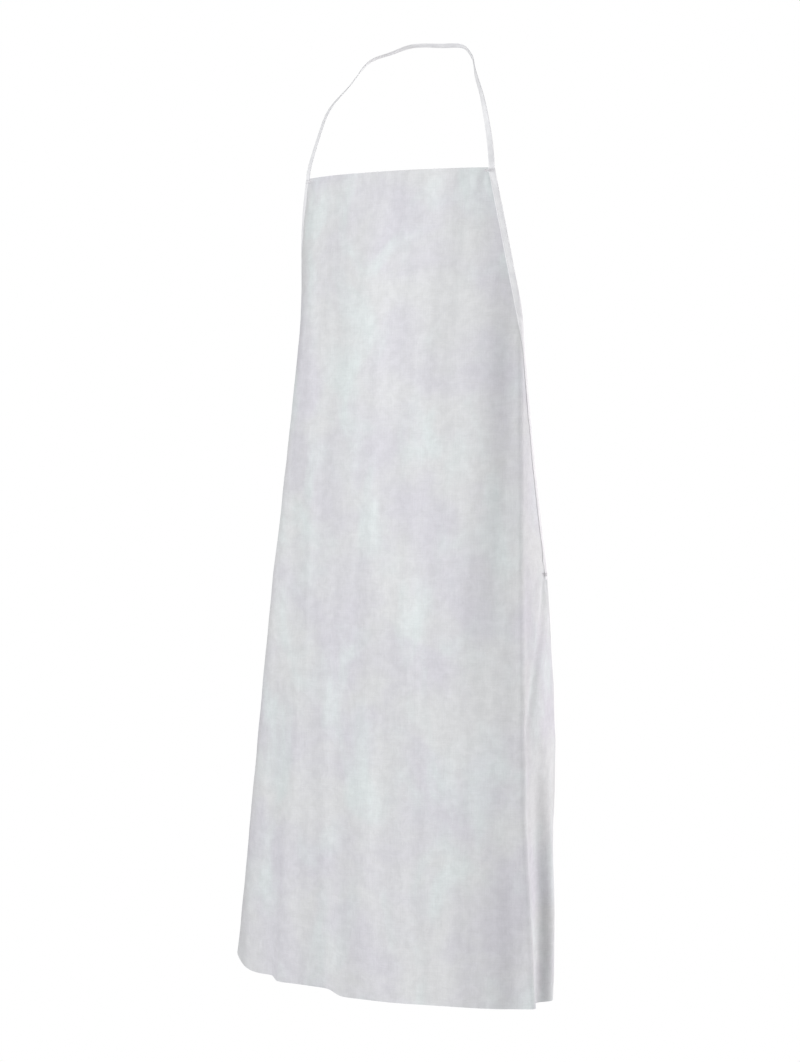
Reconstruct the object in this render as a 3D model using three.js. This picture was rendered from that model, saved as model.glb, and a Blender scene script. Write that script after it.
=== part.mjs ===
// A full-length butcher apron as it hangs on a wearer.
// One sheet forms the bib, the front and two side wings that wrap the hips. A narrow
// folded tape makes the neck loop, and the same tape binds the slanting edge between
// each bib corner and the corner where a waist tie is sewn on.
//
// Millimetres. +Z is up, the wearer looks along -Y, and +X is the wearer's left.
// The origin is the middle of the neck loop's back run, where it rests on the neck.
//
// Everything but the neck loop is laid out flat, as it is cut and sewn, and then worn:
//   across  distance from the centre line, towards the wearer's left
//   off     height off the middle of the sheet, on its outer side
//   down    distance down the sheet from the bib's top edge
import * as THREE from 'three';

// The sheet, flat
const BIB_WIDTH = 300;
const TIE_WIDTH = 568;
const HEM_WIDTH = 804;
const LENGTH = 1103;
const TIE_DOWN = 545;
const SHEET_THICK = 1.2;

// The tape
const TAPE_WIDTH = 8;
const TAPE_THICK = 1.2;
const BINDING_PLY = 0.6;
const STITCH_GAP = 0.4;

// The tacks
const TACK_WIDTH = 11;
const TACK_HEIGHT = 4;
const TACK_THICK = 0.8;
const TACK_INSET = 2;

// Where the bib hangs under the neck
const BIB_DROP = 191;
const BIB_FORWARD = 154;
const STRAP_CLEARANCE = 3.8;

// How the sheet is divided
const COLUMNS = 30;
const ROWS = 32;
const STRAP_STEPS = 56;
const TURN_STEPS = 90;

// The worn shape at six heights, from bib to hem. Angles are in degrees.
//   forward  how far the centre line stands in front of the bib's top
//   bow      how fast the front curves, per 100 mm across
//   corner   where the sheet turns the side of the body, from the centre line
//   soft     length of that turn
//   turn     angle of that turn
const WORN_DOWN = [0, 215, 545, 690, 850, 1103];
const WORN_FRONT = { forward: [0, 23, 43, 48.8, 55, 63], bow: [13.6, 12.3, 8, 8, 8, 8] };
const WORN_LEFT = {
  corner: [188, 197, 208, 212, 216, 235],
  soft: [26, 26, 13, 13, 13, 13],
  turn: [56, 58, 54, 56, 66, 87],
};
const WORN_RIGHT = {
  corner: [132, 146, 180, 195, 212, 240],
  soft: [60, 56, 50, 47, 44, 40],
  turn: [16, 56, 80, 83, 86, 90],
};

// The front eases round before it reaches the sharp left corner
const EASE_TURN = 16;
const EASE_BACK = 30;
const EASE_SOFT = 70;

// The pleat behind the left corner, which opens below the hips
const PLEAT_FROM = 640;
const PLEAT_FULL = 1060;
const PLEAT_IN = 96;
const PLEAT_OUT = 104;
const PLEAT_START = 44;
const PLEAT_DEPTH = 24;
const PLEAT_SOFT = 22;

// The hem rises where the right wing is drawn back
const HEM_RISE = 40;
const RISE_FROM = 600;
const RISE_ACROSS = 190;
const RISE_SOFT = 110;

const step = (value, middle, width) => 1 / (1 + Math.exp((-4 * (value - middle)) / width));

// A value of the worn shape, read between its heights at one distance down the sheet.
function wornValue(values, down) {
  const last = WORN_DOWN.length - 1;
  const height = (THREE.MathUtils.clamp(down, 0, LENGTH) / LENGTH) * WORN_DOWN[last];
  let i = 1;
  while (i < last && height > WORN_DOWN[i]) i += 1;
  const share = (height - WORN_DOWN[i - 1]) / (WORN_DOWN[i] - WORN_DOWN[i - 1]);
  return THREE.MathUtils.lerp(values[i - 1], values[i], share);
}

// Half the width of the flat sheet: straight from bib corner to tie corner, then to the hem.
function halfWidth(down) {
  if (down < TIE_DOWN) return THREE.MathUtils.lerp(BIB_WIDTH, TIE_WIDTH, down / TIE_DOWN) / 2;
  return THREE.MathUtils.lerp(TIE_WIDTH, HEM_WIDTH, (down - TIE_DOWN) / (LENGTH - TIE_DOWN)) / 2;
}

// Where the sheet turns the side of the body, and how fast its front curves.
function bend(side, down) {
  const turns = side > 0 ? WORN_LEFT : WORN_RIGHT;
  return {
    bow: wornValue(WORN_FRONT.bow, down),
    corner: wornValue(turns.corner, down),
    soft: wornValue(turns.soft, down),
    turn: wornValue(turns.turn, down),
    ease: side > 0 ? EASE_TURN : 0,
    pleat: side > 0 ? THREE.MathUtils.smoothstep(down, PLEAT_FROM, PLEAT_FULL) : 0,
  };
}

// The angle that the sheet has turned from straight ahead, at a distance from its centre line.
function heading(far, { bow, corner, soft, turn, ease, pleat }) {
  const easeAt = corner - EASE_BACK;
  const pleatIn = corner + PLEAT_START;
  const angle = (bow * far) / 100
    + ease * (step(far, easeAt, EASE_SOFT) - step(0, easeAt, EASE_SOFT))
    + turn * (step(far, corner, soft) - step(0, corner, soft))
    - PLEAT_IN * pleat * step(far, pleatIn, PLEAT_SOFT)
    + PLEAT_OUT * pleat * step(far, pleatIn + PLEAT_DEPTH, PLEAT_SOFT);
  return THREE.MathUtils.degToRad(angle);
}

// The place and the outward direction of a point of the flat sheet, once worn.
function worn(across, down) {
  const side = Math.sign(across) || 1;
  const shape = bend(side, down);
  const stride = Math.abs(across) / TURN_STEPS;
  let x = 0;
  let y = -BIB_FORWARD - wornValue(WORN_FRONT.forward, down);
  for (let i = 0; i < TURN_STEPS; i += 1) {
    const angle = heading((i + 0.5) * stride, shape);
    x += side * Math.cos(angle) * stride;
    y += Math.sin(angle) * stride;
  }
  const drawn = THREE.MathUtils.clamp((down - RISE_FROM) / (LENGTH - RISE_FROM), 0, 1);
  const rise = HEM_RISE * drawn * drawn * step(-across, RISE_ACROSS, RISE_SOFT);
  const end = heading(Math.abs(across), shape);
  return {
    place: new THREE.Vector3(x, y, -BIB_DROP - down + rise),
    out: new THREE.Vector3(side * Math.sin(end), -Math.cos(end), 0),
  };
}

// Splits each square of an unworn geometry along the same diagonal, so that walls that lie
// over each other bend alike.
function splitAlike(geometry) {
  const flat = geometry.index ? geometry.toNonIndexed() : geometry;
  const position = flat.attributes.position;
  // An extruded geometry's end faces come before its squares.
  const firstSquare = geometry.index ? 0 : flat.groups[1].start;
  const corner = (i) => new THREE.Vector3().fromBufferAttribute(position, i);
  for (let i = firstSquare; i < position.count; i += 6) {
    const [a, b, d, c] = [corner(i), corner(i + 1), corner(i + 2), corner(i + 4)];
    if ((b.x - d.x) * (b.z - d.z) < 0) {
      position.setXYZ(i + 2, c.x, c.y, c.z);
      position.setXYZ(i + 3, a.x, a.y, a.z);
    }
  }
  return flat;
}

// Moves each corner of a flat geometry, (across, off, down), to where it is worn.
function wear(geometry) {
  const position = geometry.attributes.position;
  for (let i = 0; i < position.count; i += 1) {
    const { place, out } = worn(position.getX(i), position.getZ(i));
    place.addScaledVector(out, position.getY(i));
    position.setXYZ(i, place.x, place.y, place.z);
  }
  geometry.computeVertexNormals();
  return geometry;
}

// A mesh with its own plain material.
function piece(name, geometry, colour, roughness) {
  const material = new THREE.MeshStandardMaterial({ color: colour, roughness, metalness: 0 });
  const mesh = new THREE.Mesh(geometry, material);
  mesh.name = name;
  return mesh;
}

// How far down the sheet a row lies. A row runs through the tie corners.
function rowDown(row) {
  const tieRow = ROWS / 2;
  if (row <= tieRow) return (TIE_DOWN * row) / tieRow;
  return TIE_DOWN + ((LENGTH - TIE_DOWN) * (row - tieRow)) / (ROWS - tieRow);
}

// How far across a column lies. The outermost columns are as wide as the binding.
function columnAcross(column, down) {
  const half = halfWidth(down);
  if (column === 0) return -half;
  if (column === COLUMNS) return half;
  const inner = half - TAPE_WIDTH;
  return THREE.MathUtils.lerp(-inner, inner, (column - 1) / (COLUMNS - 2));
}

// The sheet: a thin box of columns and rows, cut to its outline and worn.
function apronPanel() {
  const geometry = splitAlike(new THREE.BoxGeometry(COLUMNS, SHEET_THICK, ROWS, COLUMNS, 1, ROWS));
  const position = geometry.attributes.position;
  for (let i = 0; i < position.count; i += 1) {
    const down = rowDown(Math.round(position.getZ(i) + ROWS / 2));
    const across = columnAcross(Math.round(position.getX(i) + COLUMNS / 2), down);
    position.setX(i, across);
    position.setZ(i, down);
  }
  return wear(geometry);
}

// The binding: a tape folded over the edge, a U whose two legs lie on the sheet's faces.
function edgeBinding(side) {
  const inside = SHEET_THICK / 2 + STITCH_GAP;
  const outside = inside + BINDING_PLY;
  const fold = STITCH_GAP + BINDING_PLY;
  const outline = [
    [-TAPE_WIDTH, outside], [-TAPE_WIDTH, inside], [STITCH_GAP, inside], [STITCH_GAP, -inside],
    [-TAPE_WIDTH, -inside], [-TAPE_WIDTH, -outside], [fold, -outside], [fold, outside],
  ];
  const section = new THREE.Shape(outline.map(([past, off]) => new THREE.Vector2(side * past, off)));
  const settings = { depth: TIE_DOWN, steps: ROWS / 2, bevelEnabled: false };
  const geometry = splitAlike(new THREE.ExtrudeGeometry(section, settings));
  const position = geometry.attributes.position;
  for (let i = 0; i < position.count; i += 1) {
    position.setX(i, side * halfWidth(position.getZ(i)) + position.getX(i));
  }
  return wear(geometry);
}

// A tack: a small flat plate of stitching on the outer side, over the binding's edge.
function tack(name, side, down) {
  const across = side * (halfWidth(down) - TACK_INSET - TACK_WIDTH / 2);
  const { place, out } = worn(across, down);
  const off = SHEET_THICK / 2 + STITCH_GAP + BINDING_PLY + STITCH_GAP + TACK_THICK / 2;
  const mesh = piece(name, new THREE.BoxGeometry(TACK_WIDTH, TACK_THICK, TACK_HEIGHT), 0xd4d3d8, 0.7);
  mesh.position.copy(place).addScaledVector(out, off);
  mesh.rotation.z = Math.atan2(out.y, out.x) + Math.PI / 2;
  return mesh;
}

// The neck loop: a flat tape from the left bib corner, round the neck, to the right one.
// Its ends stand just above the bib corners; the points between are the wearer's shoulders.
function neckStrap() {
  const leftEnd = worn(BIB_WIDTH / 2 - TAPE_WIDTH / 2, 0).place;
  const rightEnd = worn(-BIB_WIDTH / 2 + TAPE_WIDTH / 2, 0).place;
  leftEnd.z += STRAP_CLEARANCE;
  rightEnd.z += STRAP_CLEARANCE;
  const route = new THREE.CatmullRomCurve3([
    leftEnd,
    new THREE.Vector3(127, -104, -146),
    new THREE.Vector3(107, -81, -93),
    new THREE.Vector3(76, -41, -51),
    new THREE.Vector3(54, -11, -19),
    new THREE.Vector3(36, -2, -4),
    new THREE.Vector3(0, 0, 0),
    new THREE.Vector3(-43, -4, 2),
    new THREE.Vector3(-67, -19, -8),
    new THREE.Vector3(-92, -38, -21),
    new THREE.Vector3(-112, -58, -55),
    new THREE.Vector3(-135, -76, -90),
    new THREE.Vector3(-141, -98, -134),
    rightEnd,
  ], false, 'centripetal');
  const half = TAPE_WIDTH / 2;
  const thin = TAPE_THICK / 2;
  const trim = TAPE_THICK / 4;
  const section = new THREE.Shape([
    new THREE.Vector2(-half, -thin + trim),
    new THREE.Vector2(-half + trim, -thin),
    new THREE.Vector2(half - trim, -thin),
    new THREE.Vector2(half, -thin + trim),
    new THREE.Vector2(half, thin - trim),
    new THREE.Vector2(half - trim, thin),
    new THREE.Vector2(-half + trim, thin),
    new THREE.Vector2(-half, thin - trim),
  ]);
  return new THREE.ExtrudeGeometry(section, { steps: STRAP_STEPS, extrudePath: route });
}

const apron = new THREE.Group();
apron.add(piece('neck_strap', neckStrap(), 0xecebee, 0.65));
apron.add(piece('apron_panel', apronPanel(), 0xd9dadd, 0.8));
for (const [hand, side] of [['left', 1], ['right', -1]]) {
  apron.add(piece(`edge_binding_${hand}`, edgeBinding(side), 0xecebee, 0.65));
  apron.add(tack(`strap_tack_${hand}`, side, TACK_HEIGHT / 2 + TACK_INSET));
  apron.add(tack(`tie_tack_${hand}`, side, TIE_DOWN - TACK_HEIGHT / 2 - TACK_INSET));
}

export default apron;
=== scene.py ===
# A full-length butcher apron as it hangs on a wearer: one wrapped sheet with bound
# slanting edges, a tape neck loop, and tacks where the strap and the waist ties are sewn.
# Metres. The wearer looks along -Y, +X is the wearer's left, the neck holds it at the origin.
import math

import bpy
import numpy as np
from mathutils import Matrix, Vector, noise


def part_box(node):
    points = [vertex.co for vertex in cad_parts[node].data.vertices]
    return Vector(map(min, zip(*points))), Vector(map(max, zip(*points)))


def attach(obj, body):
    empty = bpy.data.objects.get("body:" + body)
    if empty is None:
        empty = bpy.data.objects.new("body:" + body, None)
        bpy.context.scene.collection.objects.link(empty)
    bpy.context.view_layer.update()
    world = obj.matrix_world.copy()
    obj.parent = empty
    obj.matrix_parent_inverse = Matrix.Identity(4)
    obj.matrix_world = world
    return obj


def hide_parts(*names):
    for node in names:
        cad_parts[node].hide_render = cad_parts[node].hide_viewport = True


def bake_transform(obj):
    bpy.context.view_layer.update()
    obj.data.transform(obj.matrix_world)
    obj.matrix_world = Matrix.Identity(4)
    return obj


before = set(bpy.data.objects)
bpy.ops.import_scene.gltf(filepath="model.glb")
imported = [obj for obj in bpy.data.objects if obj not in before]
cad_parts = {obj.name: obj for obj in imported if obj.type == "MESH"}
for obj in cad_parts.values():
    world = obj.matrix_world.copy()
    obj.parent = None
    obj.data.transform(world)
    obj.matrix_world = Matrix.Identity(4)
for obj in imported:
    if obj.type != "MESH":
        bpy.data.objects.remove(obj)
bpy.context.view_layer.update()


# Camera. It stands a little above the height of the tie corners, 28 degrees round to the
# wearer's left, and looks level through a long lens.
camera_azimuth = math.radians(28)
camera_distance = 3.6
look_at = Vector((0.0, -0.046, -0.605))
camera_data = bpy.data.cameras.new("camera")
camera_data.sensor_fit = "VERTICAL"
camera_data.sensor_height = 36.0
camera_data.lens = 88.34
camera_data.shift_x = -0.0235
camera_data.shift_y = -0.049
camera = bpy.data.objects.new("camera", camera_data)
bpy.context.collection.objects.link(camera)
out_to_camera = Vector((math.sin(camera_azimuth), -math.cos(camera_azimuth), 0.0))
camera.location = look_at + camera_distance * out_to_camera
camera.rotation_euler = (math.pi / 2, 0.0, camera_azimuth)
bpy.context.scene.camera = camera


# Neck strap. A narrow white tape folded double along its length, its raw edges turned in and
# sewn together along the open side. It runs from the left bib corner round the neck to the
# right one, and each end is tucked behind the bib's top edge, where a tack holds it.
tape_width = 0.008
strap_route = [
    (0.1432, -0.1268, -0.1875), (0.128, -0.104, -0.146), (0.107, -0.081, -0.093),
    (0.076, -0.041, -0.051), (0.054, -0.011, -0.019), (0.036, -0.002, -0.004),
    (0.0, 0.0, 0.0), (-0.043, -0.004, 0.002), (-0.067, -0.019, -0.008),
    (-0.092, -0.038, -0.021), (-0.112, -0.058, -0.055), (-0.135, -0.076, -0.090),
    (-0.141, -0.098, -0.134), (-0.1412, -0.1240, -0.1882),
]
left_tuck = [(0.1414, -0.1271, -0.2030), (0.1423, -0.1258, -0.1955)]
right_tuck = [(-0.1401, -0.1231, -0.1955), (-0.1393, -0.1240, -0.2030)]
strap_rings = 320
places_per_span = 40
# The direction of the tape's width at five even shares of its length.
strap_lies = [
    (1.0, 0.45, 0.0), (0.55, -0.36, 0.75), (0.0, -0.87, 0.5), (0.80, -0.60, 0.10),
    (1.0, -0.45, 0.0),
]
# Slight twists of the tape about its length: (degrees, how fast they come, where they start).
strap_twists = [(3, 29, 0), (2, 67, 1)]
# Half of the tape's section, from its fold to its open side: (width, thickness) in millimetres.
strap_half_section = [
    (-4.0, 0.0), (-3.92, 0.34), (-3.6, 0.55), (-2.4, 0.60), (0.4, 0.56), (2.0, 0.55), (2.6, 0.42),
    (3.1, 0.54), (3.6, 0.60), (3.92, 0.44), (4.0, 0.25), (3.85, 0.10), (3.0, 0.05),
]


def route_through(points, count):
    """Evenly spaced places along a centripetal Catmull-Rom curve through points."""
    p = np.array(points)
    p = np.vstack([2 * p[0] - p[1], p, 2 * p[-1] - p[-2]])
    parts = []
    for a, b, c, d in zip(p, p[1:], p[2:], p[3:]):
        gaps = [np.linalg.norm(gap) ** 0.5 for gap in (b - a, c - b, d - c)]
        k0, k1, k2, k3 = np.cumsum([0.0] + gaps)
        t = np.linspace(k1, k2, places_per_span, endpoint=False)[:, None]
        ab = ((k1 - t) * a + (t - k0) * b) / (k1 - k0)
        bc = ((k2 - t) * b + (t - k1) * c) / (k2 - k1)
        cd = ((k3 - t) * c + (t - k2) * d) / (k3 - k2)
        abc = ((k2 - t) * ab + (t - k0) * bc) / (k2 - k0)
        bcd = ((k3 - t) * bc + (t - k1) * cd) / (k3 - k1)
        parts.append(((k2 - t) * abc + (t - k1) * bcd) / (k2 - k1))
    line = np.vstack(parts + [p[-2:-1]])
    along = np.concatenate([[0.0], np.cumsum(np.linalg.norm(np.diff(line, axis=0), axis=1))])
    even = np.linspace(0, along[-1], count)
    return np.stack([np.interp(even, along, line[:, i]) for i in range(3)], axis=-1)


def unit(vectors):
    """The same directions, one long."""
    return vectors / np.linalg.norm(vectors, axis=-1, keepdims=True)


strip_edge_angle = math.radians(50)


def folded_strip(name, rings):
    """A closed mesh from rings of places along a strip of tape, with both ends filled.
    Its UV map is in metres: round the section, and along the strip."""
    count, corners = rings.shape[:2]
    ring, corner = np.meshgrid(np.arange(count - 1), np.arange(corners), indexing="ij")
    after = (corner + 1) % corners
    quads = np.stack([ring * corners + corner, ring * corners + after,
                      (ring + 1) * corners + after, (ring + 1) * corners + corner], axis=-1)
    ends = [list(range(corners)), list(range((count - 1) * corners, count * corners))]
    mesh = bpy.data.meshes.new(name)
    mesh.from_pydata(rings.reshape(-1, 3).tolist(), [], quads.reshape(-1, 4).tolist() + ends)
    middle = rings.mean(axis=1)
    along = np.concatenate([[0.0], np.cumsum(np.linalg.norm(np.diff(middle, axis=0), axis=1))])
    sides = np.linalg.norm(np.roll(rings[0], -1, axis=0) - rings[0], axis=1)
    round_section = np.concatenate([[0.0], np.cumsum(sides)])
    u = np.stack([round_section[corner], round_section[corner + 1]] * 2, axis=-1)[..., [0, 1, 3, 2]]
    v = np.stack([along[ring], along[ring], along[ring + 1], along[ring + 1]], axis=-1)
    uv = np.zeros((len(mesh.loops), 2))
    uv[:quads.size] = np.stack([u, v], axis=-1).reshape(-1, 2)
    mesh.uv_layers.new(name="UVMap").data.foreach_set("uv", uv.ravel())
    strip = bpy.data.objects.new(name, mesh)
    bpy.context.collection.objects.link(strip)
    bpy.ops.object.select_all(action="DESELECT")
    strip.select_set(True)
    bpy.context.view_layer.objects.active = strip
    bpy.ops.object.mode_set(mode="EDIT")
    bpy.ops.mesh.select_all(action="SELECT")
    bpy.ops.mesh.normals_make_consistent(inside=False)
    bpy.ops.object.mode_set(mode="OBJECT")
    bpy.ops.object.shade_smooth_by_angle(angle=strip_edge_angle)
    return strip


strap_line = route_through(left_tuck + strap_route + right_tuck, strap_rings)
strap_ahead = unit(np.gradient(strap_line, axis=0))
share = np.linspace(0, 1, strap_rings)
lie_shares = np.linspace(0, 1, len(strap_lies))
strap_lie = np.stack(
    [np.interp(share, lie_shares, [lie[i] for lie in strap_lies]) for i in range(3)], axis=-1)
strap_lie = unit(strap_lie - np.sum(strap_lie * strap_ahead, axis=-1, keepdims=True) * strap_ahead)
strap_off = np.cross(strap_ahead, strap_lie)
strap_wave = sum(turn * np.sin(share * rate + start) for turn, rate, start in strap_twists)
strap_wave = np.radians(strap_wave)[:, None]
strap_wave = strap_wave * np.sin(math.pi * share)[:, None]
strap_lie, strap_off = (
    np.cos(strap_wave) * strap_lie + np.sin(strap_wave) * strap_off,
    np.cos(strap_wave) * strap_off - np.sin(strap_wave) * strap_lie,
)
strap_section = strap_half_section + [(width, -thick) for width, thick in strap_half_section[:0:-1]]
strap_section = np.array(strap_section) / 1000
strap = folded_strip("neck_strap_tape", strap_line[:, None]
                     + strap_section[None, :, :1] * strap_lie[:, None]
                     + strap_section[None, :, 1:] * strap_off[:, None])


def new_material(name, colour, roughness, sheen):
    """A cloth or thread material with its numbers on the shader's own sockets."""
    material = bpy.data.materials.new(name)
    material.use_nodes = True
    shader = material.node_tree.nodes["Principled BSDF"]
    shader.inputs["Base Color"].default_value = (*colour, 1)
    shader.inputs["Roughness"].default_value = roughness
    shader.inputs["Sheen Weight"].default_value = sheen
    shader.inputs["Specular IOR Level"].default_value = 0.25
    return material


def add_node(tree, kind, values=None, **settings):
    """A node of a tree, with its settings, and its inputs' values by name or number."""
    node = tree.nodes.new(kind)
    for key, value in settings.items():
        setattr(node, key, value)
    for key, value in (values or {}).items():
        node.inputs[key].default_value = value
    return node


def mottle_group():
    """Fibrous mottling: soft patches, a finer mottle in them, and fine fibres both ways."""
    group = bpy.data.node_groups.new("fibre_mottle", "ShaderNodeTree")
    face = group.interface
    face.new_socket("Vector", in_out="INPUT", socket_type="NodeSocketVector")
    for name, value in (("Patch Scale", 12.0), ("Fibre Scale", 700.0)):
        face.new_socket(name, in_out="INPUT", socket_type="NodeSocketFloat").default_value = value
    for name in ("Patches", "Mottle", "Fibres"):
        face.new_socket(name, in_out="OUTPUT", socket_type="NodeSocketFloat")
    start = add_node(group, "NodeGroupInput")
    end = add_node(group, "NodeGroupOutput")
    link = group.links.new
    patches = add_node(group, "ShaderNodeTexNoise",
                       {"Detail": 4.0, "Roughness": 0.48, "Distortion": 0.5})
    link(start.outputs["Vector"], patches.inputs["Vector"])
    link(start.outputs["Patch Scale"], patches.inputs["Scale"])
    finer = add_node(group, "ShaderNodeMath", {1: 8.0}, operation="MULTIPLY")
    link(start.outputs["Patch Scale"], finer.inputs[0])
    mottle = add_node(group, "ShaderNodeTexNoise",
                      {"Detail": 8.0, "Roughness": 0.70, "Distortion": 0.4})
    link(start.outputs["Vector"], mottle.inputs["Vector"])
    link(finer.outputs[0], mottle.inputs["Scale"])
    threads = []
    for stretch in ((1.0, 0.08, 1.0), (0.08, 1.0, 1.0)):
        drawn = add_node(group, "ShaderNodeMapping", {"Scale": stretch})
        fibres = add_node(group, "ShaderNodeTexNoise",
                          {"Detail": 3.0, "Roughness": 0.6, "Distortion": 0.3})
        link(start.outputs["Vector"], drawn.inputs["Vector"])
        link(drawn.outputs[0], fibres.inputs["Vector"])
        link(start.outputs["Fibre Scale"], fibres.inputs["Scale"])
        threads.append(fibres)
    both = add_node(group, "ShaderNodeMix", {"Factor": 0.45}, data_type="FLOAT")
    link(threads[0].outputs["Fac"], both.inputs["A"])
    link(threads[1].outputs["Fac"], both.inputs["B"])
    link(patches.outputs["Fac"], end.inputs["Patches"])
    link(mottle.outputs["Fac"], end.inputs["Mottle"])
    link(both.outputs[0], end.inputs["Fibres"])
    return group


def add_group(tree, group, vector, **values):
    """A node group placed in a material's tree, fed by a vector."""
    node = add_node(tree, "ShaderNodeGroup", node_tree=group)
    for key, value in values.items():
        node.inputs[key.replace("_", " ")].default_value = value
    tree.links.new(vector, node.inputs["Vector"])
    return node


def ranged(tree, value, low, high, to_low, to_high):
    """A value read from one range to another, smoothly and held at the ends."""
    node = add_node(tree, "ShaderNodeMapRange", {1: low, 2: high, 3: to_low, 4: to_high},
                    interpolation_type="SMOOTHSTEP")
    tree.links.new(value, node.inputs[0])
    return node.outputs[0]


def worked(tree, operation, first, second):
    """Two values put together by one sum; either may be a plain number."""
    node = add_node(tree, "ShaderNodeMath", operation=operation)
    for socket, value in zip(node.inputs, (first, second)):
        if isinstance(value, (int, float)):
            socket.default_value = value
        else:
            tree.links.new(value, socket)
    return node.outputs[0]


def blended(tree, factor, first, second):
    """A mix of two colours, each a plain colour or a socket."""
    node = add_node(tree, "ShaderNodeMix", data_type="RGBA")
    tree.links.new(factor, node.inputs["Factor"])
    for socket, value in ((node.inputs[6], first), (node.inputs[7], second)):
        if isinstance(value, tuple):
            socket.default_value = (*value, 1)
        else:
            tree.links.new(value, socket)
    return node.outputs[2]


def raise_surface(material, height, strength, distance):
    """Feeds a height to the material's normal."""
    tree = material.node_tree
    bump = add_node(tree, "ShaderNodeBump", {"Strength": strength, "Distance": distance})
    tree.links.new(height, bump.inputs["Height"])
    tree.links.new(bump.outputs[0], tree.nodes["Principled BSDF"].inputs["Normal"])


fibre_mottle = mottle_group()
tape_cloth = new_material("tape_cloth", (0.80, 0.80, 0.81), 0.72, 0.15)
tree = tape_cloth.node_tree
tape_uv = add_node(tree, "ShaderNodeTexCoord").outputs["UV"]
tape_fibre = add_group(tree, fibre_mottle, tape_uv, Patch_Scale=60.0, Fibre_Scale=2600.0)
weave = []
for direction in ("X", "Y"):
    ribs = add_node(tree, "ShaderNodeTexWave", {"Scale": 640.0, "Distortion": 1.2, "Detail": 1.0},
                    bands_direction=direction)
    tree.links.new(tape_uv, ribs.inputs["Vector"])
    weave.append(ribs.outputs["Fac"])
tape_weave = worked(tree, "MULTIPLY", *weave)
tape_tone = worked(tree, "ADD", tape_fibre.outputs["Patches"], tape_fibre.outputs["Fibres"])
tape_shade = ranged(tree, tape_tone, 0.75, 1.25, 0.0, 1.0)
tape_colour = blended(tree, tape_shade, (0.80, 0.80, 0.82), (0.90, 0.90, 0.91))
tree.links.new(tape_colour, tree.nodes["Principled BSDF"].inputs["Base Color"])
tape_height = worked(tree, "ADD", tape_weave, tape_fibre.outputs["Fibres"])
raise_surface(tape_cloth, tape_height, 0.35, 0.00010)
strap.data.materials.append(tape_cloth)


# Sewing thread. A fine white thread sews the strap's open side and the bindings, and makes the
# tacks. Each stitch is a short bead of thread that dips into the cloth at both ends.
stitch_long, stitch_wide, stitch_high = 0.0025, 0.00050, 0.00036
stitch_pitch = 0.0031
bpy.ops.object.select_all(action="DESELECT")
bpy.ops.mesh.primitive_uv_sphere_add(segments=8, ring_count=6, radius=0.5, location=(0, 0, 0))
bead = bpy.context.object
bpy.ops.object.mode_set(mode="EDIT")
bpy.ops.mesh.select_all(action="SELECT")
bpy.ops.transform.resize(value=(stitch_wide, stitch_high, stitch_long), center_override=(0, 0, 0))
bpy.ops.object.mode_set(mode="OBJECT")
bead_points = np.zeros((len(bead.data.vertices), 3))
bead.data.vertices.foreach_get("co", bead_points.ravel())
bead_faces = [list(face.vertices) for face in bead.data.polygons]
bpy.data.objects.remove(bead)

thread_finish = new_material("thread_finish", (0.80, 0.79, 0.81), 0.6, 0.1)
tree = thread_finish.node_tree
thread_place = add_node(tree, "ShaderNodeTexCoord").outputs["Object"]
thread_fibre = add_group(tree, fibre_mottle, thread_place, Patch_Scale=220.0, Fibre_Scale=5200.0)
thread_shade = ranged(tree, thread_fibre.outputs["Patches"], 0.35, 0.65, 0.0, 1.0)
thread_colour = blended(tree, thread_shade, (0.74, 0.73, 0.75), (0.86, 0.85, 0.87))
tree.links.new(thread_colour, tree.nodes["Principled BSDF"].inputs["Base Color"])
raise_surface(thread_finish, thread_fibre.outputs["Fibres"], 0.6, 0.0001)


def sewn(name, middles, alongs, offs, lengths=None):
    """One piece made of a bead of thread at each place, lying along, with its top facing off."""
    sides = np.cross(offs, alongs)
    stretch = np.ones(len(middles)) if lengths is None else lengths / stitch_long
    points = (middles[:, None]
              + bead_points[None, :, :1] * sides[:, None]
              + bead_points[None, :, 1:2] * offs[:, None]
              + bead_points[None, :, 2:] * (alongs * stretch[:, None])[:, None])
    faces = [[corner + i * len(bead_points) for corner in face]
             for i in range(len(middles)) for face in bead_faces]
    mesh = bpy.data.meshes.new(name)
    mesh.from_pydata(points.reshape(-1, 3).tolist(), [], faces)
    piece = bpy.data.objects.new(name, mesh)
    bpy.context.collection.objects.link(piece)
    bpy.ops.object.select_all(action="DESELECT")
    piece.select_set(True)
    bpy.context.view_layer.objects.active = piece
    bpy.ops.object.mode_set(mode="EDIT")
    bpy.ops.mesh.select_all(action="SELECT")
    bpy.ops.mesh.normals_make_consistent(inside=False)
    bpy.ops.object.mode_set(mode="OBJECT")
    bpy.ops.object.shade_smooth()
    mesh.materials.append(thread_finish)
    return piece


# The strap's seam: a row of stitches on each face, in the shallow groove by the open side.
strap_length = float(np.sum(np.linalg.norm(np.diff(strap_line, axis=0), axis=1)))
seam_from_middle, seam_height = 0.0026, 0.00043
seam_end_gap = 0.004
stitches_along = np.arange(seam_end_gap, strap_length - seam_end_gap, stitch_pitch)
at = stitches_along / strap_length * (strap_rings - 1)


def along_strap(values):
    """A value of the strap's rings, read at each stitch of its seam."""
    return np.stack([np.interp(at, np.arange(strap_rings), values[:, i]) for i in range(3)], axis=-1)


strap_seams = []
for face in (1, -1):
    off = face * unit(along_strap(strap_off))
    middle = along_strap(strap_line) + seam_from_middle * along_strap(strap_lie) + seam_height * off
    strap_seams.append((middle, unit(along_strap(strap_ahead)), off))
strap_stitches = sewn("neck_strap_stitches", *(np.vstack(parts) for parts in zip(*strap_seams)))

for piece, slot_name in ((strap, "tape"), (strap_stitches, "thread")):
    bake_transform(piece)
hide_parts("neck_strap")


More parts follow.
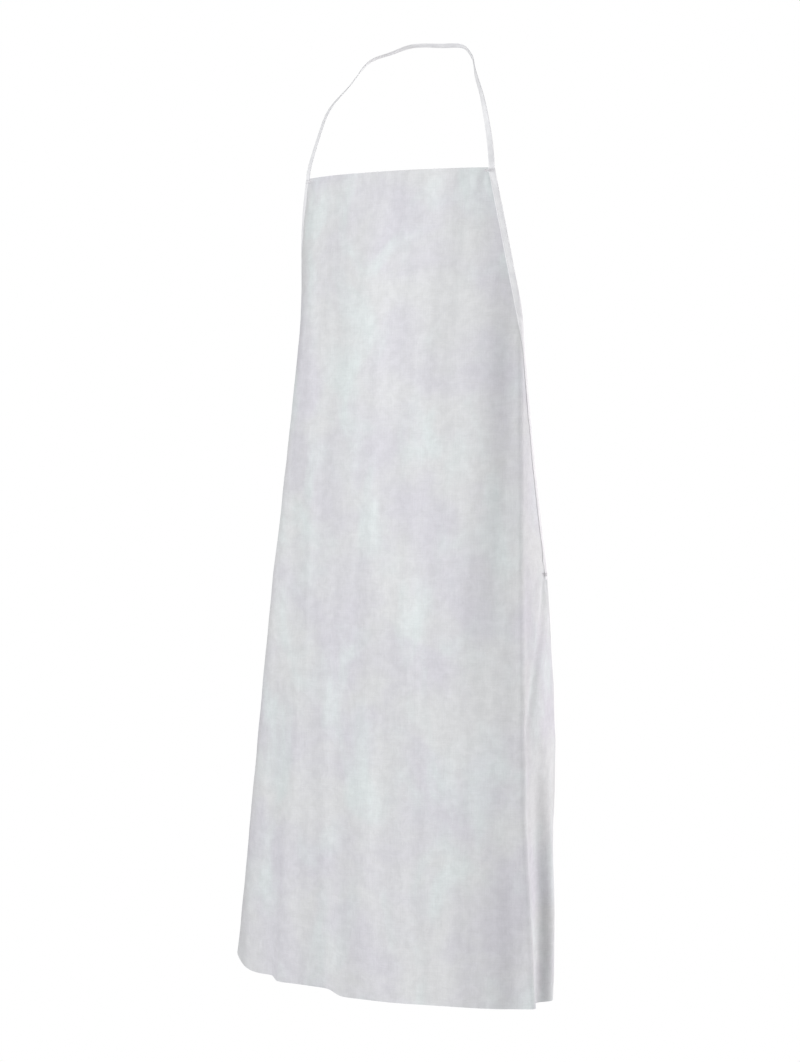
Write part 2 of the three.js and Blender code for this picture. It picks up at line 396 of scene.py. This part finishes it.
# Apron sheet. One sheet of white nonwoven cloth makes the bib, the front and two wings that
# wrap the hips. It is cut flat, hangs from the bib corners and is drawn back at the tie
# corners, which presses a sharp edge down its left side and folds into the skirt below.
sheet_low, sheet_high = (Vector(corner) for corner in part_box("apron_panel"))
bib_width, tie_width, hem_width = 0.300, 0.568, 0.804
sheet_length = sheet_high.z - sheet_low.z
tie_down = 0.545
bib_top = sheet_high.z
bib_forward = 0.154
cloth_thick = 0.0006
columns, rows, tie_row = 270, 160, 79
steps_per_column = 4

# The worn shape at six heights, from bib to hem: metres, and degrees for bow and turn.
worn_down = np.array([0.0, 0.215, 0.545, 0.690, 0.850, 1.103])
forward_at = [0.0, 0.023, 0.043, 0.0488, 0.055, 0.063]
bow_at = [136, 123, 80, 80, 80, 80]
left_turn = {
    "corner": [0.188, 0.197, 0.208, 0.212, 0.216, 0.235],
    "soft": [0.013] * 6,
    "turn": [56, 58, 54, 56, 65, 85],
}
right_turn = {
    "corner": [0.132, 0.146, 0.180, 0.195, 0.212, 0.240],
    "soft": [0.060, 0.056, 0.050, 0.047, 0.044, 0.040],
    "turn": [16, 56, 80, 83, 86, 90],
}
# The hem rises in steps towards the right wing: how far, where across, and over what width.
hem_rises = [(0.009, 0.045, 0.020), (0.006, 0.152, 0.010), (0.025, 0.222, 0.040)]
# Folds that run down the sheet: where they lie across it at two heights, half width, steepest
# angle in degrees (positive stands out, negative goes in), and the heights they fade in and out.
folds = [
    {"across": (0.000, 0.001), "heights": (0.215, 1.103), "width": 0.005, "angle": 13,
     "fade": (0.12, 0.26, 1.2, 1.3), "beside_corner": True},
    {"across": (-0.020, -0.026), "heights": (0.215, 1.103), "width": 0.012, "angle": -6,
     "fade": (0.10, 0.30, 1.2, 1.3), "beside_corner": True},
    {"across": (0.276, 0.212), "heights": (0.550, 0.790), "width": 0.006, "angle": -12,
     "fade": (0.53, 0.58, 0.74, 0.80)},
    {"across": (0.262, 0.258), "heights": (0.560, 0.790), "width": 0.016, "angle": 7,
     "fade": (0.55, 0.66, 0.74, 0.84)},
    {"across": (-0.120, -0.160), "heights": (0.300, 1.103), "width": 0.009, "angle": -11,
     "fade": (0.72, 1.02, 1.2, 1.3)},
    {"across": (-0.100, -0.138), "heights": (0.300, 1.103), "width": 0.012, "angle": 9,
     "fade": (0.62, 1.00, 1.2, 1.3)},
    {"across": (-0.030, -0.042), "heights": (0.300, 1.103), "width": 0.012, "angle": 7,
     "fade": (0.80, 1.06, 1.2, 1.3)},
    {"across": (-0.062, -0.070), "heights": (0.000, 0.500), "width": 0.012, "angle": -3,
     "fade": (0.00, 0.10, 0.25, 0.50)},
    {"across": (0.045, 0.060), "heights": (0.000, 0.500), "width": 0.022, "angle": 4,
     "fade": (0.02, 0.15, 0.25, 0.55)},
    {"across": (0.020, 0.040), "heights": (0.500, 1.103), "width": 0.030, "angle": 4,
     "fade": (0.55, 0.95, 1.2, 1.3)},
    {"across": (-0.250, -0.300), "heights": (0.545, 1.103), "width": 0.016, "angle": -16,
     "fade": (0.58, 0.90, 1.2, 1.3)},
    {"across": (-0.275, -0.345), "heights": (0.545, 1.103), "width": 0.018, "angle": 14,
     "fade": (0.60, 0.95, 1.2, 1.3)},
]
# A slow rounding of the left side, from before its pressed edge: degrees, how far before, length.
left_rounding, rounding_before, rounding_soft = 16, 0.030, 0.070
# The pleat behind the left edge, which opens towards the hem: between which heights, then the
# angle of each of its two turns and how far behind the edge it lies, then their length.
pleat_opens = (0.640, 1.060)
pleat_turns = [(-96, 0.044), (104, 0.066)]
pleat_soft = 0.022
hem_rise_from = 0.600
# Unevenness of the hung cloth: height, wave length across, wave length down, and its layer.
unevenness = [(0.0013, 0.060, 0.30, 0), (0.0006, 0.028, 0.050, 5), (0.0002, 0.013, 0.020, 9)]
# Wrinkles at the bib corners and the tie corners: height, across, down, reach, and how many.
corner_gathers = [
    (0.0011, bib_width / 2 - 0.006, 0.004, 0.035, 7),
    (0.0022, tie_width / 2 - 0.006, tie_down - 0.004, 0.022, 6),
]
# Where the unevenness comes in, from a bound side edge and from the bib's top.
side_calm, top_calm = (-0.004, 0.010), (-0.004, 0.012)


def smooth(value, low, high):
    """0 below low, 1 above high, and a smooth rise between them."""
    share = np.clip((value - low) / (high - low), 0.0, 1.0)
    return share * share * (3 - 2 * share)


def step(value, middle, width):
    """A soft step from 0 to 1 about middle."""
    return 1 / (1 + np.exp(-4 * (value - middle) / width))


def half_width(down):
    """Half the flat sheet's width: straight from bib corner to tie corner, then to the hem."""
    return np.interp(down, [0, tie_down, sheet_length], [bib_width, tie_width, hem_width]) / 2


def heading(far, down, side):
    """The angle that the sheet has turned from straight ahead, far from its centre line."""
    turns = left_turn if side > 0 else right_turn
    corner, soft, turn = (np.interp(down, worn_down, turns[k]) for k in ("corner", "soft", "turn"))
    angle = np.interp(down, worn_down, bow_at) * far
    angle = angle + turn * (step(far, corner, soft) - step(0, corner, soft))
    if side > 0:
        begins = corner - rounding_before
        angle = angle + left_rounding * (step(far, begins, rounding_soft) - step(0, begins, rounding_soft))
        opened = smooth(down, *pleat_opens)
        for pleat_turn, behind in pleat_turns:
            angle = angle + pleat_turn * opened * step(far, corner + behind, pleat_soft)
    for fold in folds:
        middle = side * np.interp(down, fold["heights"], fold["across"])
        if fold.get("beside_corner"):
            if side < 0:
                continue
            middle = middle + corner
        come, full, go, gone = fold["fade"]
        lean = (far - middle) / fold["width"]
        angle = angle + (fold["angle"] * smooth(down, come, full) * (1 - smooth(down, go, gone))
                         * lean * np.exp((1 - lean * lean) / 2))
    return np.radians(angle)


def worn_side(down, side, count):
    """Places from the centre line to one side edge at one height, count columns across."""
    fine = count * steps_per_column
    stride = half_width(down) / fine
    angle = heading((np.arange(fine) + 0.5) * stride, down, side)
    x = side * np.concatenate([[0], np.cumsum(np.cos(angle))])[::steps_per_column] * stride
    y = np.concatenate([[0], np.cumsum(np.sin(angle))])[::steps_per_column] * stride
    y = y - bib_forward - np.interp(down, worn_down, forward_at)
    across = side * np.linspace(0, half_width(down), count + 1)
    drawn = np.clip((down - hem_rise_from) / (sheet_length - hem_rise_from), 0, 1)
    risen = sum(rise * step(-across, middle, width) for rise, middle, width in hem_rises)
    z = bib_top - down + drawn**2 * risen
    return np.stack([x, y, z], axis=-1), across


half_columns = columns // 2
downs = np.concatenate([np.linspace(0, tie_down, tie_row + 1),
                        np.linspace(tie_down, sheet_length, rows - tie_row + 1)[1:]])
places = np.zeros((rows + 1, columns + 1, 3))
acrosses = np.zeros((rows + 1, columns + 1))
for row, down in enumerate(downs):
    for side in (-1, 1):
        line, across = worn_side(down, side, half_columns)
        picks = half_columns + side * np.arange(half_columns + 1)
        places[row, picks] = line
        acrosses[row, picks] = across


def outward(grid):
    """The outward direction at each point of the sheet."""
    return unit(np.cross(np.gradient(grid, axis=0), np.gradient(grid, axis=1)))


def uneven(wave_across, wave_down, layer):
    """Soft unevenness over the sheet, from -1 to 1, with waves of about the sizes given."""
    heights = np.broadcast_to(downs[:, None] / wave_down, acrosses.shape)
    spots = np.stack([acrosses / wave_across, heights], -1)
    values = [noise.noise(Vector((u, v, layer))) for u, v in spots.reshape(-1, 2)]
    return np.array(values).reshape(acrosses.shape)


def gathers(corner_across, corner_down, reach, count):
    """Small wrinkles that fan out from a sewn corner and die away."""
    across_off = acrosses - corner_across
    down_off = downs[:, None] - corner_down
    far = np.hypot(across_off, down_off)
    fan = np.cos(count * np.arctan2(down_off, across_off) + 3 * far / reach)
    return fan * smooth(far, 0.004, 0.4 * reach) * np.exp(-far / reach)


offset = sum(height * uneven(*wave) for height, *wave in unevenness)
for side in (-1, 1):
    for height, across, down, reach, count in corner_gathers:
        offset = offset + height * gathers(side * across, down, reach, count)
    offset = offset * smooth(half_width(downs)[:, None] - side * acrosses, *side_calm)
offset = offset * smooth(downs[:, None], *top_calm)
places = places + offset[..., None] * outward(places)
outs = outward(places)


def on_sheet(across, down):
    """The place and the outward direction at points of the worn sheet. A point past a side
    edge goes straight on from it."""
    across, down = np.broadcast_arrays(np.asarray(across, float), np.asarray(down, float))
    half = half_width(down)
    held = np.clip(across, -half, half)
    row = np.clip(np.interp(down, downs, np.arange(rows + 1)), 0, rows - 1e-6)
    column = np.clip(half_columns * (1 + held / half), 0, columns - 1e-6)
    r, c = row.astype(int), column.astype(int)
    fr, fc = (row - r)[..., None], (column - c)[..., None]
    place, out = (
        (values[r, c] * (1 - fc) + values[r, c + 1] * fc) * (1 - fr)
        + (values[r + 1, c] * (1 - fc) + values[r + 1, c + 1] * fc) * fr
        for values in (places, outs)
    )
    on = unit(places[r, c + 1] - places[r, c])
    return place + (across - held)[..., None] * on, unit(out)


bpy.ops.object.select_all(action="DESELECT")
bpy.ops.mesh.primitive_grid_add(x_subdivisions=columns, y_subdivisions=rows, size=1)
panel = bpy.context.object
panel.name = "apron_sheet"
grid = np.zeros((len(panel.data.vertices), 3))
panel.data.vertices.foreach_get("co", grid.ravel())
column_of = np.rint((grid[:, 0] + 0.5) * columns).astype(int)
row_of = np.rint((0.5 - grid[:, 1]) * rows).astype(int)
panel.data.vertices.foreach_set("co", places[row_of, column_of].ravel())
corner_of = np.zeros(len(panel.data.loops), dtype=int)
panel.data.loops.foreach_get("vertex_index", corner_of)
flat_map = np.stack([acrosses[row_of, column_of], -downs[row_of]], axis=-1)[corner_of]
panel.data.uv_layers.active.data.foreach_set("uv", flat_map.ravel())
panel.data.update()
panel.location = (0, 0, 0)
thick = panel.modifiers.new("thick", "SOLIDIFY")
thick.thickness = cloth_thick
thick.offset = 0
bpy.ops.object.modifier_apply(modifier=thick.name)
bpy.ops.object.shade_smooth_by_angle(angle=math.radians(60))

sheet_cloth = new_material("sheet_cloth", (0.70, 0.70, 0.72), 0.78, 0.12)
tree = sheet_cloth.node_tree
sheet_uv = add_node(tree, "ShaderNodeTexCoord").outputs["UV"]
clouds = add_group(tree, fibre_mottle, sheet_uv, Patch_Scale=9.0, Fibre_Scale=620.0)
moved = add_node(tree, "ShaderNodeMapping", {"Location": (3.1, 7.7, 0.0), "Scale": (1.35, 0.8, 1.0)})
tree.links.new(sheet_uv, moved.inputs["Vector"])
tints = add_group(tree, fibre_mottle, moved.outputs[0], Patch_Scale=11.0, Fibre_Scale=260.0)
lavender = ranged(tree, clouds.outputs["Patches"], 0.36, 0.66, 0.0, 0.9)
cool = ranged(tree, tints.outputs["Patches"], 0.46, 0.74, 0.0, 0.85)
cloud_colour = blended(tree, lavender, (0.700, 0.705, 0.712), (0.655, 0.646, 0.692))
cloud_colour = blended(tree, cool, cloud_colour, (0.715, 0.765, 0.765))
speckle = ranged(tree, clouds.outputs["Mottle"], 0.30, 0.70, 0.945, 1.045)
fibre = ranged(tree, clouds.outputs["Fibres"], 0.30, 0.70, 0.965, 1.035)
hanging = add_node(tree, "ShaderNodeMapping", {"Scale": (1.0, 0.10, 1.0)})
tree.links.new(sheet_uv, hanging.inputs["Vector"])
bands = add_node(tree, "ShaderNodeTexNoise",
                 {"Scale": 22.0, "Detail": 3.0, "Roughness": 0.5, "Distortion": 0.2})
tree.links.new(hanging.outputs[0], bands.inputs["Vector"])
band = ranged(tree, bands.outputs["Fac"], 0.32, 0.68, 0.95, 1.05)
# Painted light and shade across the cloth, set by its place: painted shade makes it greyer to the right
# and beside the pressed left edge, and painted light makes it lighter again on the left wing.
parted = add_node(tree, "ShaderNodeSeparateXYZ")
tree.links.new(sheet_uv, parted.inputs[0])
front_painted_shade = ranged(tree, parted.outputs["X"], -0.12, 0.04, 0.970, 1.015)
pressed_edge_painted_shade = ranged(tree, parted.outputs["X"], 0.07, 0.16, 1.0, 0.945)
wing_painted_light = ranged(tree, parted.outputs["X"], 0.195, 0.212, 1.0, 1.06)
painted_light_and_shade = worked(tree, "MULTIPLY", worked(tree, "MULTIPLY", front_painted_shade, pressed_edge_painted_shade), wing_painted_light)
grain = worked(tree, "MULTIPLY", speckle, fibre)
# The cloth's grain and random bands, times the painted light and shade across it.
grain_and_painted_shade = worked(tree, "MULTIPLY", grain, worked(tree, "MULTIPLY", band, painted_light_and_shade))
streaks = add_node(tree, "ShaderNodeTexNoise",
                   {"Scale": 60.0, "Detail": 4.0, "Roughness": 0.6, "Distortion": 3.5})
tree.links.new(sheet_uv, streaks.inputs["Vector"])
off_line = worked(tree, "ABSOLUTE", worked(tree, "SUBTRACT", streaks.outputs["Fac"], 0.5), 0.0)
line_mask = ranged(tree, off_line, 0.0, 0.012, 1.0, 0.0)
line_where = ranged(tree, tints.outputs["Mottle"], 0.54, 0.64, 0.0, 1.0)
scuffs = worked(tree, "MULTIPLY", line_mask, line_where)
shaded = add_node(tree, "ShaderNodeVectorMath", operation="SCALE")
tree.links.new(cloud_colour, shaded.inputs[0])
tree.links.new(grain_and_painted_shade, shaded.inputs["Scale"])
scuff_share = worked(tree, "MULTIPLY", scuffs, 0.5)
cloth_colour = blended(tree, scuff_share, shaded.outputs[0], (0.86, 0.87, 0.88))
shader = tree.nodes["Principled BSDF"]
tree.links.new(cloth_colour, shader.inputs["Base Color"])
cloth_roughness = ranged(tree, clouds.outputs["Mottle"], 0.3, 0.7, 0.70, 0.86)
tree.links.new(cloth_roughness, shader.inputs["Roughness"])
cloth_height = worked(tree, "ADD", worked(tree, "MULTIPLY", clouds.outputs["Mottle"], 1.6),
                      worked(tree, "MULTIPLY", clouds.outputs["Fibres"], 0.5))
cloth_height = worked(tree, "ADD", cloth_height, worked(tree, "MULTIPLY", scuffs, 0.25))
raise_surface(sheet_cloth, cloth_height, 0.35, 0.0006)
panel.data.materials.append(sheet_cloth)


# Edge bindings. The same white tape is folded over each slanting edge, from the bib corner to
# the tie corner, with its own edges turned under, and sewn through all the layers near them.
leg = tape_width
# Half of the tape's section: (past the sheet's edge, off its middle) in millimetres.
binding_outer = [
    (-8.0, 0.42), (-8.12, 0.66), (-7.9, 0.92), (-7.3, 1.0), (-6.7, 0.96), (-6.2, 0.92),
    (-5.4, 0.93), (-3.0, 0.86), (-0.6, 0.84), (0.4, 0.72), (0.9, 0.38), (1.05, 0.0),
]
binding_inner = [(0.45, 0.0), (0.35, 0.30), (0.0, 0.37), (-4.0, 0.37)]
seam_from_edge = 0.0067
# The stitches press a groove into the tape's outer faces, which lie further than outer_from off
# the sheet's middle. Its depth swings about a mean, as shares of seam_press, once per stitch.
seam_press, seam_spread = 0.00026, 0.0009
press_mean, press_swing = 0.55, 0.45
outer_from = 0.0005
# The tape starts just below the bib's top and ends just past the tie corner. The first stitch
# is this many pitches down.
binding_start, binding_past_tie = 0.0004, 0.003
first_stitch = 1.5
stitch_lift = 0.00082
binding_rings = 640
pieces_on_sheet = []


def binding_section():
    """The whole section: out along one leg, round the fold, back along the other, and inside."""
    outer = binding_outer + [(a, -off) for a, off in binding_outer[-2::-1]]
    inner = [(a, -off) for a, off in binding_inner[::-1]] + binding_inner[1:]
    return np.array(outer + inner) / 1000


for hand, side in (("left", 1), ("right", -1)):
    section = binding_section()
    binding_downs = np.linspace(binding_start, tie_down + binding_past_tie, binding_rings)[:, None]
    past, off = section[:, 0][None], section[:, 1][None]
    pressed = seam_press * np.exp(-(((past + seam_from_edge) / seam_spread) ** 2))
    stitch_phase = 2 * math.pi * binding_downs / stitch_pitch
    pressed = pressed * (press_mean - press_swing * np.cos(stitch_phase))
    off = off - np.sign(off) * pressed * (np.abs(off) > outer_from)
    place, out = on_sheet(side * (half_width(binding_downs) + past), binding_downs)
    binding = folded_strip(f"binding_tape_{hand}", place + off[..., None] * out)
    binding.data.materials.append(tape_cloth)
    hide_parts(f"edge_binding_{hand}")
    pieces_on_sheet.append(binding)

    seam_downs = np.arange(first_stitch, tie_down / stitch_pitch) * stitch_pitch
    seam_across = side * (half_width(seam_downs) - seam_from_edge)
    place, out = on_sheet(seam_across, seam_downs)
    along = unit(np.gradient(place, axis=0))
    rows_of_stitches = [(place + face * stitch_lift * out, along, face * out) for face in (1, -1)]
    seam = sewn(f"binding_stitches_{hand}", *(np.vstack(parts) for parts in zip(*rows_of_stitches)))
    pieces_on_sheet.append(seam)


# Tacks. A dense zigzag of thread is sewn over a few straight runs through all the layers, one
# across each strap end and one at each tie corner, where a waist tie is sewn on.
tack_width, tack_height, tack_inset = 0.011, 0.004, 0.002
zigzags, runs = 25, 3
zigzag_lean, zigzag_tail, thread_lift = 0.0004, 0.0004, 0.0001
reach_change, reach_rate = 0.06, 7.3
run_spread, run_ends = 0.6, (0.06, 0.94)
beads_per_run, bead_share = 5, 0.24
# How far the thread lies off the sheet's middle, on the binding and on the bare cloth, and the
# distances from the sheet's edge between which it steps down from one to the other.
binding_top, cloth_top = 0.00104, 0.00042
step_down = (leg - 0.0006, leg + 0.0009)
for hand, side in (("left", 1), ("right", -1)):
    for name, middle_down in (("strap", tack_height / 2 + tack_inset),
                              ("tie", tie_down - tack_height / 2 - tack_inset)):
        outer = half_width(middle_down) - tack_inset
        shares = np.linspace(0, 1, zigzags)
        from_edge = tack_inset + tack_width * shares
        lift = binding_top + (cloth_top - binding_top) * smooth(from_edge, *step_down)
        lean = zigzag_lean * (-1) ** np.arange(zigzags)
        reach = tack_height / 2 * (1 + reach_change * np.sin(reach_rate * np.arange(zigzags)))
        across = side * (outer - tack_width * shares)
        top, zigzag_out = on_sheet(across + lean, middle_down - reach)
        low, _ = on_sheet(across - lean, middle_down + reach)
        threads = []
        for face in (1, -1):
            threads.append(((top + low) / 2 + face * (lift + thread_lift)[:, None] * zigzag_out,
                            unit(low - top), face * zigzag_out,
                            np.linalg.norm(low - top, axis=-1) + zigzag_tail))
            for run in np.linspace(-run_spread, run_spread, runs):
                pieces = np.linspace(*run_ends, beads_per_run)
                run_lift = np.interp(tack_width * pieces + tack_inset, from_edge, lift)
                run_down = middle_down + run * tack_height / 2
                place, out = on_sheet(side * (outer - tack_width * pieces), run_down)
                along = unit(np.gradient(place, axis=0))
                threads.append((place + face * (run_lift - thread_lift)[:, None] * out, along,
                                face * out, np.full(len(pieces), tack_width * bead_share)))
        threads = [np.concatenate(parts) for parts in zip(*threads)]
        tack = sewn(f"{name}_tack_thread_{hand}", *threads)
        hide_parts(f"{name}_tack_{hand}")
        pieces_on_sheet.append(tack)

for piece in [panel] + pieces_on_sheet:
    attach(piece, "apron")
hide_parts("apron_panel")


# Floor and light. A seamless white studio: the floor and the surroundings read white, and
# soft lamps from the left front and the right back leave the corner between them darker.
bpy.ops.object.select_all(action="DESELECT")
bpy.ops.mesh.primitive_plane_add(size=60, location=(0, 0, -1.5))
floor = bpy.context.object
floor.name = "floor"
floor_white = bpy.data.materials.new("floor_white")
floor_white.use_nodes = True
tree = floor_white.node_tree
floor_shader = tree.nodes["Principled BSDF"]
floor_shader.inputs["Base Color"].default_value = (0.8, 0.8, 0.8, 1)
floor_shader.inputs["Roughness"].default_value = 1.0
floor_glow = add_node(tree, "ShaderNodeEmission", {"Color": (1, 1, 1, 1), "Strength": 1.0})
floor_mix = add_node(tree, "ShaderNodeMixShader")
tree.links.new(add_node(tree, "ShaderNodeLightPath").outputs["Is Camera Ray"], floor_mix.inputs[0])
tree.links.new(floor_shader.outputs[0], floor_mix.inputs[1])
tree.links.new(floor_glow.outputs[0], floor_mix.inputs[2])
tree.links.new(floor_mix.outputs[0], tree.nodes["Material Output"].inputs["Surface"])
floor.data.materials.append(floor_white)

studio = bpy.data.worlds.new("studio")
studio.use_nodes = True
tree = studio.node_tree
seen = add_node(tree, "ShaderNodeBackground", {"Color": (1, 1, 1, 1), "Strength": 1.0})
lighting = add_node(tree, "ShaderNodeBackground", {"Color": (1.0, 1.0, 1.0, 1), "Strength": 0.36})
choose = add_node(tree, "ShaderNodeMixShader")
tree.links.new(add_node(tree, "ShaderNodeLightPath").outputs["Is Camera Ray"], choose.inputs[0])
tree.links.new(lighting.outputs[0], choose.inputs[1])
tree.links.new(seen.outputs[0], choose.inputs[2])
tree.links.new(choose.outputs[0], tree.nodes["World Output"].inputs["Surface"])
bpy.context.scene.world = studio
bpy.context.scene.view_settings.view_transform = "Standard"


def soft_light(name, azimuth, height, distance, size, power, colour):
    """A square area light that faces the apron's middle."""
    data = bpy.data.lights.new(name, "AREA")
    data.size = size
    data.energy = power
    data.color = colour
    light = bpy.data.objects.new(name, data)
    bpy.context.collection.objects.link(light)
    turn = math.radians(azimuth)
    light.location = (distance * math.sin(turn), -distance * math.cos(turn), height)
    aim = Vector((0, -0.1, -0.7)) - light.location
    light.rotation_euler = aim.to_track_quat("-Z", "Y").to_euler()


soft_light("front_light", -8, 0.3, 3.0, 1.0, 55, (0.99, 0.995, 1.0))
soft_light("side_light", 128, 0.0, 3.0, 1.0, 66, (1.0, 0.97, 0.985))
